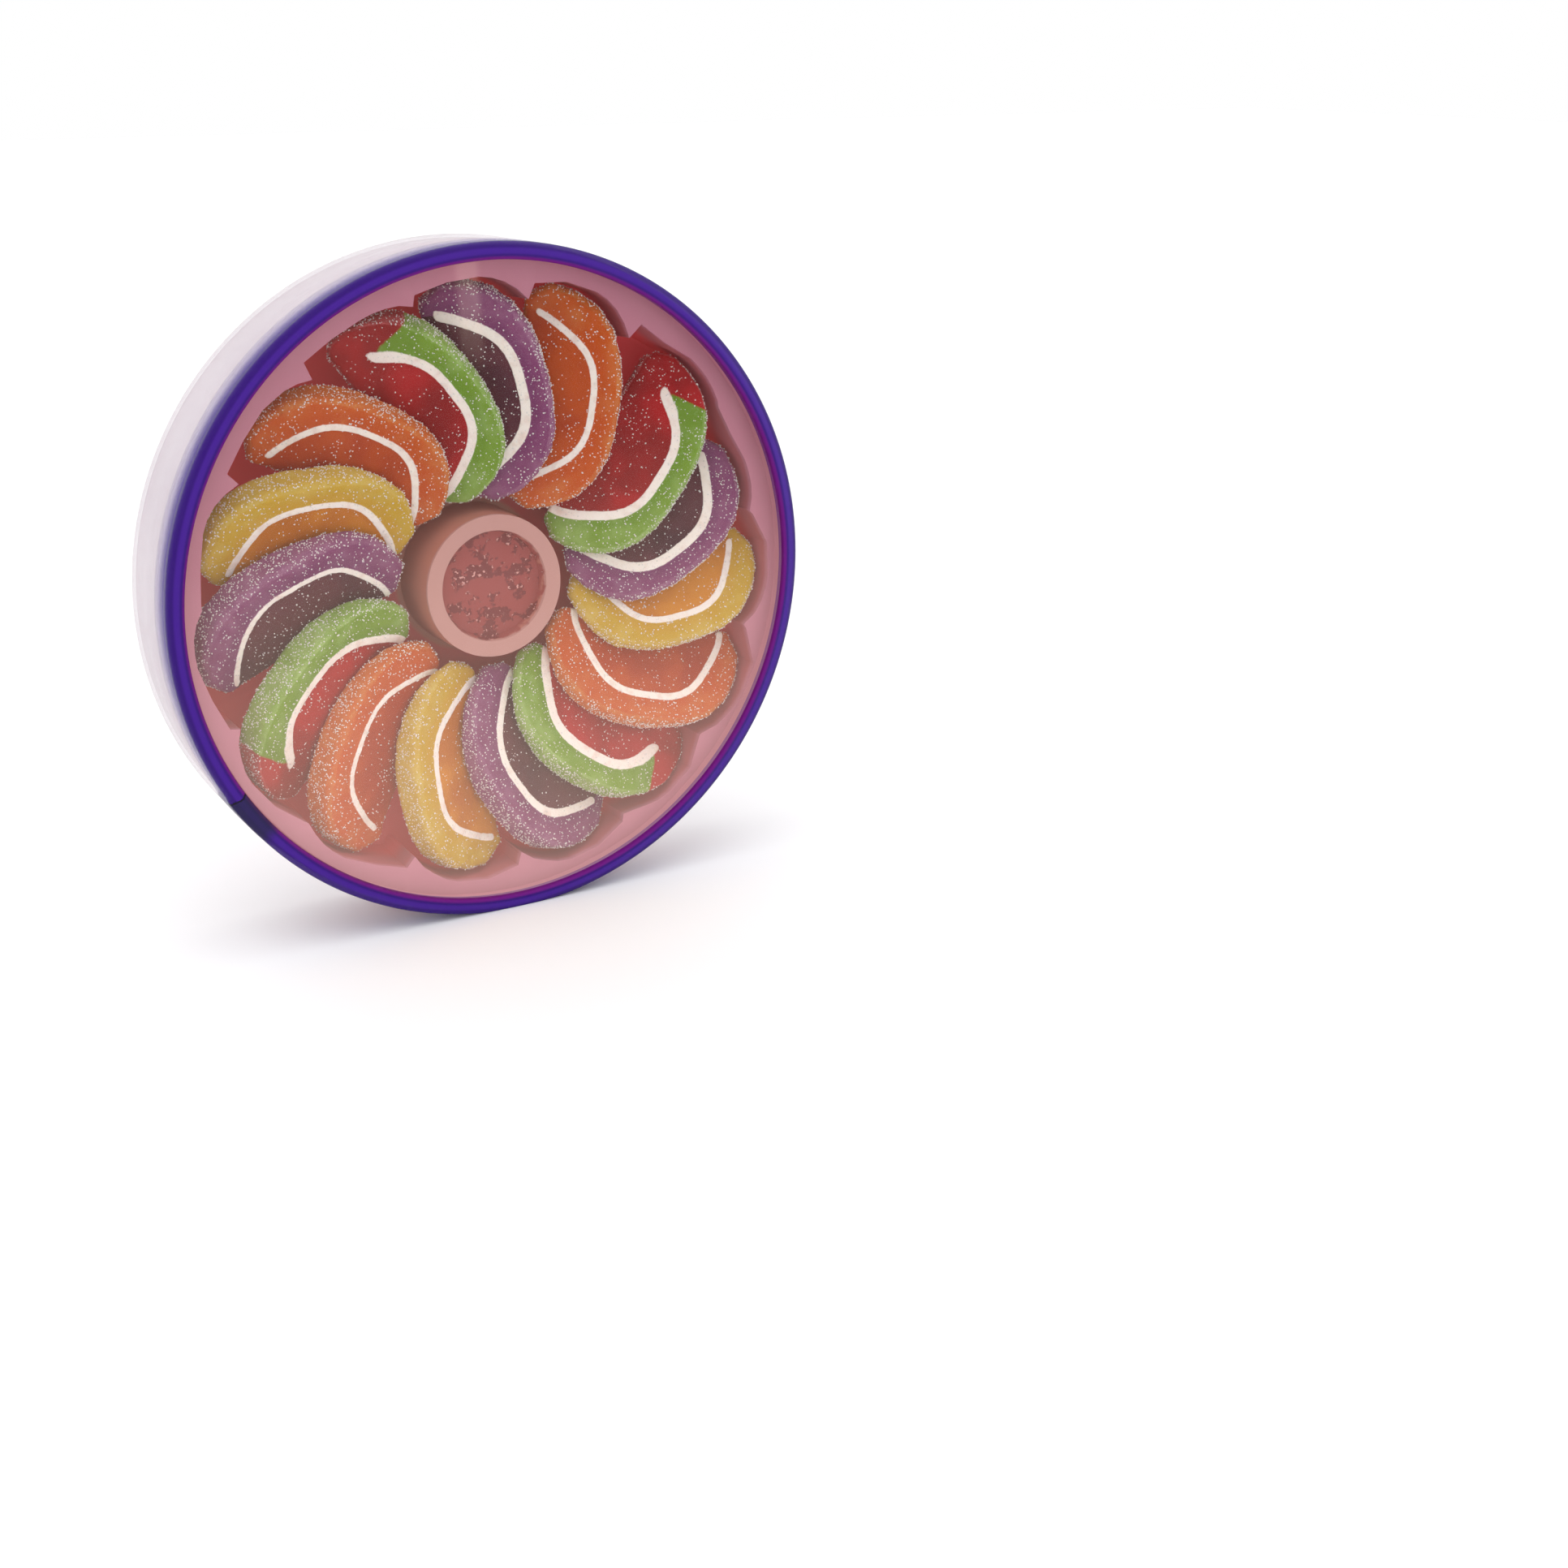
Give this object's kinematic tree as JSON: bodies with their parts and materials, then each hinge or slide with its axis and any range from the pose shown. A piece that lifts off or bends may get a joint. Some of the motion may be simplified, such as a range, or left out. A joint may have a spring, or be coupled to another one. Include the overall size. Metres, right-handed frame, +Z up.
{
  "type": "boxed fruit slice gummies",
  "caption": "Round clear box on its rim: purple ring, clear window, pink tray, and sugared fruit slice gummies fanned round a hub.",
  "frame": {"origin": "on the floor, under the middle of the box that bounds the part", "axes": "+Z up, the window faces -Y, +X to the right seen from the front; the round box's axis is parallel to Y"},
  "size_m": [0.1698, 0.0324, 0.1691],
  "materials": {
    "purple_plastic": "glossy see-through purple plastic",
    "clear_film": "clear glossy sheet with a faint haze",
    "clear_plastic": "clear plastic with a milky haze",
    "pink_tray": "thin see-through pink formed plastic, satin",
    "gummy_line": "opaque white gummy, dusted with sugar",
    "gummy_grape_body": "see-through fruit jelly, dusted with sugar",
    "gummy_grape_rind": "fruit jelly rind, coated in sugar crystals",
    "gummy_orange_body": "see-through fruit jelly, dusted with sugar",
    "gummy_orange_rind": "fruit jelly rind, coated in sugar crystals",
    "gummy_melon_body": "see-through fruit jelly, dusted with sugar",
    "gummy_melon_rind": "fruit jelly rind, coated in sugar crystals",
    "gummy_lemon_body": "see-through fruit jelly, dusted with sugar",
    "gummy_lemon_rind": "fruit jelly rind, coated in sugar crystals"
  },
  "bodies": {
    "root": {"base_cup": "clear_plastic", "lid_ring": "purple_plastic", "lid_window": "clear_film", "slice_01_grape_body": "gummy_grape_body", "slice_01_grape_line": "gummy_line", "slice_01_grape_rind": "gummy_grape_rind", "slice_02_orange_body": "gummy_orange_body", "slice_02_orange_line": "gummy_line", "slice_02_orange_rind": "gummy_orange_rind", "slice_03_melon_body": "gummy_melon_body", "slice_03_melon_line": "gummy_line", "slice_03_melon_rind": "gummy_melon_rind", "slice_04_grape_body": "gummy_grape_body", "slice_04_grape_line": "gummy_line", "slice_04_grape_rind": "gummy_grape_rind", "slice_05_lemon_body": "gummy_lemon_body", "slice_05_lemon_line": "gummy_line", "slice_05_lemon_rind": "gummy_lemon_rind", "slice_06_orange_body": "gummy_orange_body", "slice_06_orange_line": "gummy_line", "slice_06_orange_rind": "gummy_orange_rind", "slice_07_melon_body": "gummy_melon_body", "slice_07_melon_line": "gummy_line", "slice_07_melon_rind": "gummy_melon_rind", "slice_08_grape_body": "gummy_grape_body", "slice_08_grape_line": "gummy_line", "slice_08_grape_rind": "gummy_grape_rind", "slice_09_lemon_body": "gummy_lemon_body", "slice_09_lemon_line": "gummy_line", "slice_09_lemon_rind": "gummy_lemon_rind", "slice_10_orange_body": "gummy_orange_body", "slice_10_orange_line": "gummy_line", "slice_10_orange_rind": "gummy_orange_rind", "slice_11_melon_body": "gummy_melon_body", "slice_11_melon_line": "gummy_line", "slice_11_melon_rind": "gummy_melon_rind", "slice_12_grape_body": "gummy_grape_body", "slice_12_grape_line": "gummy_line", "slice_12_grape_rind": "gummy_grape_rind", "slice_13_lemon_body": "gummy_lemon_body", "slice_13_lemon_line": "gummy_line", "slice_13_lemon_rind": "gummy_lemon_rind", "slice_14_orange_body": "gummy_orange_body", "slice_14_orange_line": "gummy_line", "slice_14_orange_rind": "gummy_orange_rind", "slice_15_melon_body": "gummy_melon_body", "slice_15_melon_line": "gummy_line", "slice_15_melon_rind": "gummy_melon_rind", "tray": "pink_tray"}
  },
  "joints": []
}
